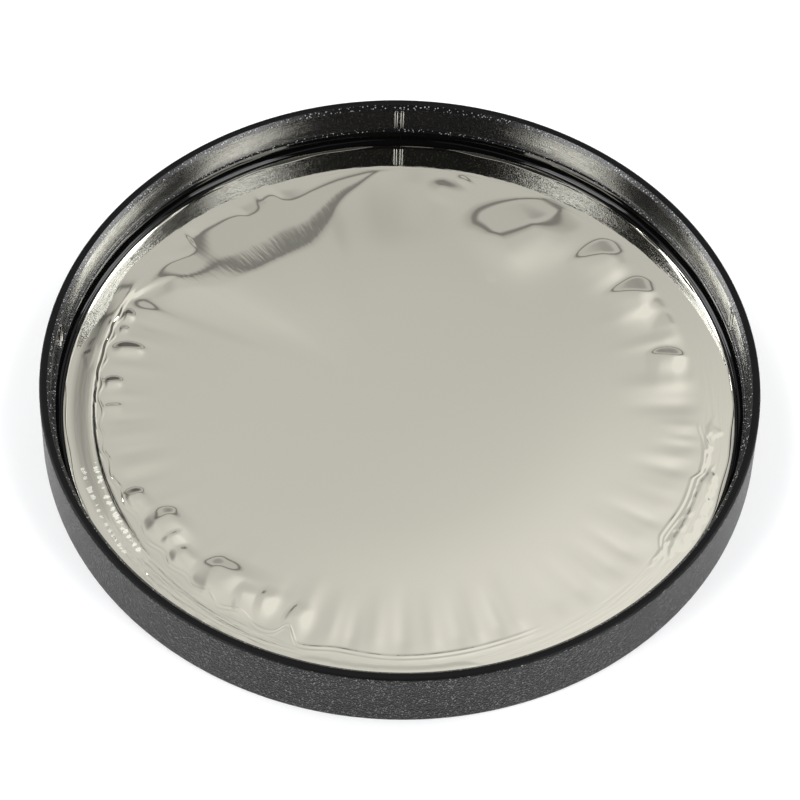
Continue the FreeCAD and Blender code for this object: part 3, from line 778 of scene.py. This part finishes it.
# Pairs of upright ridges in the socket wall grip the tube.
RIDGE_ANGLES = [16.3, 91.5, 171.4, 240.0, 308.0]
RIDGE_PITCH = 1.25
feet = []
for angle in RIDGE_ANGLES:
    for aside in (-0.5, 0.5):
        turn = math.radians(angle) + aside * RIDGE_PITCH / 69.9
        feet.append((69.9 * math.cos(turn) * MM, 69.9 * math.sin(turn) * MM, 7.7 * MM))
feet_mesh = bpy.data.meshes.new("ridge_feet")
feet_mesh.from_pydata(feet, [], [])
ridges = new_tree("ridge_pairs", [("Radius", 1.0), ("Length", 1.0)])
given = add(ridges, "NodeGroupInput").outputs
end = add(ridges, "ShaderNodeCombineXYZ", [(2, given["Length"])]).outputs[0]
rod = add(ridges, "GeometryNodeCurvePrimitiveLine", [("End", end)]).outputs[0]
ring_line = add(ridges, "GeometryNodeCurvePrimitiveCircle", [
    ("Resolution", 16), ("Radius", given["Radius"]),
]).outputs[0]
rod = add(ridges, "GeometryNodeCurveToMesh", [("Curve", rod), ("Profile Curve", ring_line)]).outputs[0]
knob = add(ridges, "GeometryNodeMeshUVSphere", [
    ("Segments", 16), ("Rings", 8), ("Radius", given["Radius"]),
]).outputs[0]
high = add(ridges, "GeometryNodeTransform", [("Geometry", knob), ("Translation", end)]).outputs[0]
whole = add(ridges, "GeometryNodeJoinGeometry", [("Geometry", rod)])
ridges.links.new(knob, whole.inputs[0])
ridges.links.new(high, whole.inputs[0])
rods = add(ridges, "GeometryNodeInstanceOnPoints", [
    ("Points", given["Geometry"]), ("Instance", whole.outputs[0]),
]).outputs[0]
rods = add(ridges, "GeometryNodeRealizeInstances", [("Geometry", rods)]).outputs[0]
rods = add(ridges, "GeometryNodeSetMaterial", [("Geometry", rods), ("Material", rubbed_abs)]).outputs[0]
add(ridges, "NodeGroupOutput", [("Geometry", rods)])
ridge_pairs = grow("ridge_pairs", ridges, feet_mesh, [("Radius", 0.5 * MM), ("Length", 5.2 * MM)])
for polygon in ridge_pairs.data.polygons:
    polygon.use_smooth = True

# The mould gives each zone its own finish: grain on the walls, satin on the rim and its
# chamfer, polish below the ledge.
cell_mesh = cell.data
volume = sum(p.center.dot(p.normal) * p.area for p in cell_mesh.polygons)
if volume < 0:
    cell_mesh.flip_normals()
cell_mesh.materials.clear()
for finish in (grained_abs, satin_abs, polished_abs, socket_abs):
    cell_mesh.materials.append(finish)
for polygon in cell_mesh.polygons:
    polygon.use_smooth = True
    radius = math.hypot(polygon.center.x, polygon.center.y) / MM
    level = polygon.center.z / MM
    if level > 13.78 and 70.42 < radius < 71.9:
        polygon.material_index = 1
    elif 3.0 < level < 7.24 and radius < 69.3:
        polygon.material_index = 2
    elif level > 7.24 and radius < 70.6:
        polygon.material_index = 3


# ---- solar film ----

ROUND = 960
rings = np.concatenate([
    np.linspace(3, 27, 5), np.linspace(30, 43, 8), np.linspace(43.8, 59.0, 36), np.linspace(59.2, 61.4, 17),
    np.linspace(61.7, 65.4, 13), [65.7, 66.2, 66.6, 66.85, 67.05, 67.2, 67.35, 67.5, FILM_EDGE],
])
angles = np.linspace(0, 2 * math.pi, ROUND, endpoint=False)
grid_r, grid_t = np.meshgrid(rings, angles, indexing="ij")
# the rings near the seam, where the film meets the adhesive, follow its scallops
turns = np.degrees(grid_t)
seam = np.where((turns > 92) & (turns < 158), curve_through(CREASE, turns), curve_through(BOND, turns))
grid_r = grid_r + (seam - 60.2) * smooth(50, 59.2, grid_r) * (1 - smooth(61.4, 65.6, grid_r))
grid_x, grid_y = grid_r * np.cos(grid_t), grid_r * np.sin(grid_t)
top_z = FILM_TOP + rise(grid_x, grid_y)
under_rings = np.concatenate([[3, 23, 43], np.linspace(46, 60, 9), [62, FILM_EDGE]])
under_angles = np.linspace(0, 2 * math.pi, ROUND // 2, endpoint=False)
under_r, under_t = np.meshgrid(under_rings, under_angles, indexing="ij")
under_x, under_y = under_r * np.cos(under_t), under_r * np.sin(under_t)
# flat where it is bonded, and under the dips of the film's face everywhere
under_z = FILM_TOP - FILM_THICK + rise(under_x, under_y) * (1 - smooth(56, 60, under_r))
centre_z = float(rise(np.array([0.0]), np.array([0.0]))[0]) + FILM_TOP
points = np.concatenate([
    np.stack([grid_x.ravel(), grid_y.ravel(), top_z.ravel()], -1),
    [[0, 0, centre_z]],
    np.stack([under_x.ravel(), under_y.ravel(), under_z.ravel()], -1),
    [[0, 0, centre_z - FILM_THICK]],
]) * MM
faces = []
for i in range(len(rings) - 1):
    for j in range(ROUND):
        k = (j + 1) % ROUND
        inner_row, outer_row = i * ROUND, (i + 1) * ROUND
        faces.append((inner_row + j, outer_row + j, outer_row + k, inner_row + k))
top_centre = len(rings) * ROUND
for j in range(ROUND):
    faces.append((top_centre, j, (j + 1) % ROUND))
start = top_centre + 1
half = ROUND // 2
for i in range(len(under_rings) - 1):
    for j in range(half):
        k = (j + 1) % half
        inner_row, outer_row = start + i * half, start + (i + 1) * half
        faces.append((inner_row + j, inner_row + k, outer_row + k, outer_row + j))
under_centre = start + len(under_rings) * half
for j in range(half):
    faces.append((under_centre, start + (j + 1) % half, start + j))
top_edge = (len(rings) - 1) * ROUND
under_edge = start + (len(under_rings) - 1) * half
for j in range(half):
    k = (j + 1) % half
    a, b, c = top_edge + 2 * j, top_edge + 2 * j + 1, top_edge + (2 * j + 2) % ROUND
    faces.append((a, under_edge + j, b))
    faces.append((b, under_edge + j, under_edge + k))
    faces.append((b, under_edge + k, c))
film_mesh = bpy.data.meshes.new("solar_film_dressed")
film_mesh.from_pydata(points.tolist(), [], faces)
film_mesh.shade_smooth()
for polygon in film_mesh.polygons[-3 * half :]:
    polygon.use_smooth = False
# how strongly the adhesive's streaks show, and the fine wrinkles where the big fold starts
degrees_round = np.degrees(grid_t) % 360
streaked = smooth(60.8, 61.8, grid_r) * (1 - smooth(65.2, 66.2, grid_r))
streaked = streaked * (0.06 + 0.94 * smooth(205, 216, degrees_round) * (1 - smooth(245, 256, degrees_round)))
glued = smooth(193, 197, degrees_round) * (1 - smooth(216, 220, degrees_round))
glued = glued * (hump(grid_r - 62.6, 1.1) + hump(grid_r - 65.2, 0.9)) * 1.1
start = curve_through(FOLD_START, degrees_round)
wrinkled = hump(grid_r - start - 1.0, 3.2) * smooth(96, 108, degrees_round) * (1 - smooth(148, 158, degrees_round))
for label, values in (("streaked", streaked), ("wrinkled", wrinkled), ("glued", glued)):
    spread = np.zeros(len(points))
    spread[: values.size] = values.ravel()
    film_mesh.attributes.new(label, "FLOAT", "POINT").data.foreach_set("value", spread)
film = bpy.data.objects.new("solar_film_dressed", film_mesh)
bpy.context.collection.objects.link(film)
film_mesh.materials.append(mirror_film)


# ---- hand over ----

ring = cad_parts["adhesive_ring"]
for material_slot in ring.material_slots:
    material_slot.material = tape

for piece, node, slot in (
    (cell, "filter_cell", "black_plastic"),
    (ridge_pairs, "filter_cell", "black_plastic"),
    (film, "solar_film", "mirror_film"),
):
    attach(piece, "root")
    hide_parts(node)
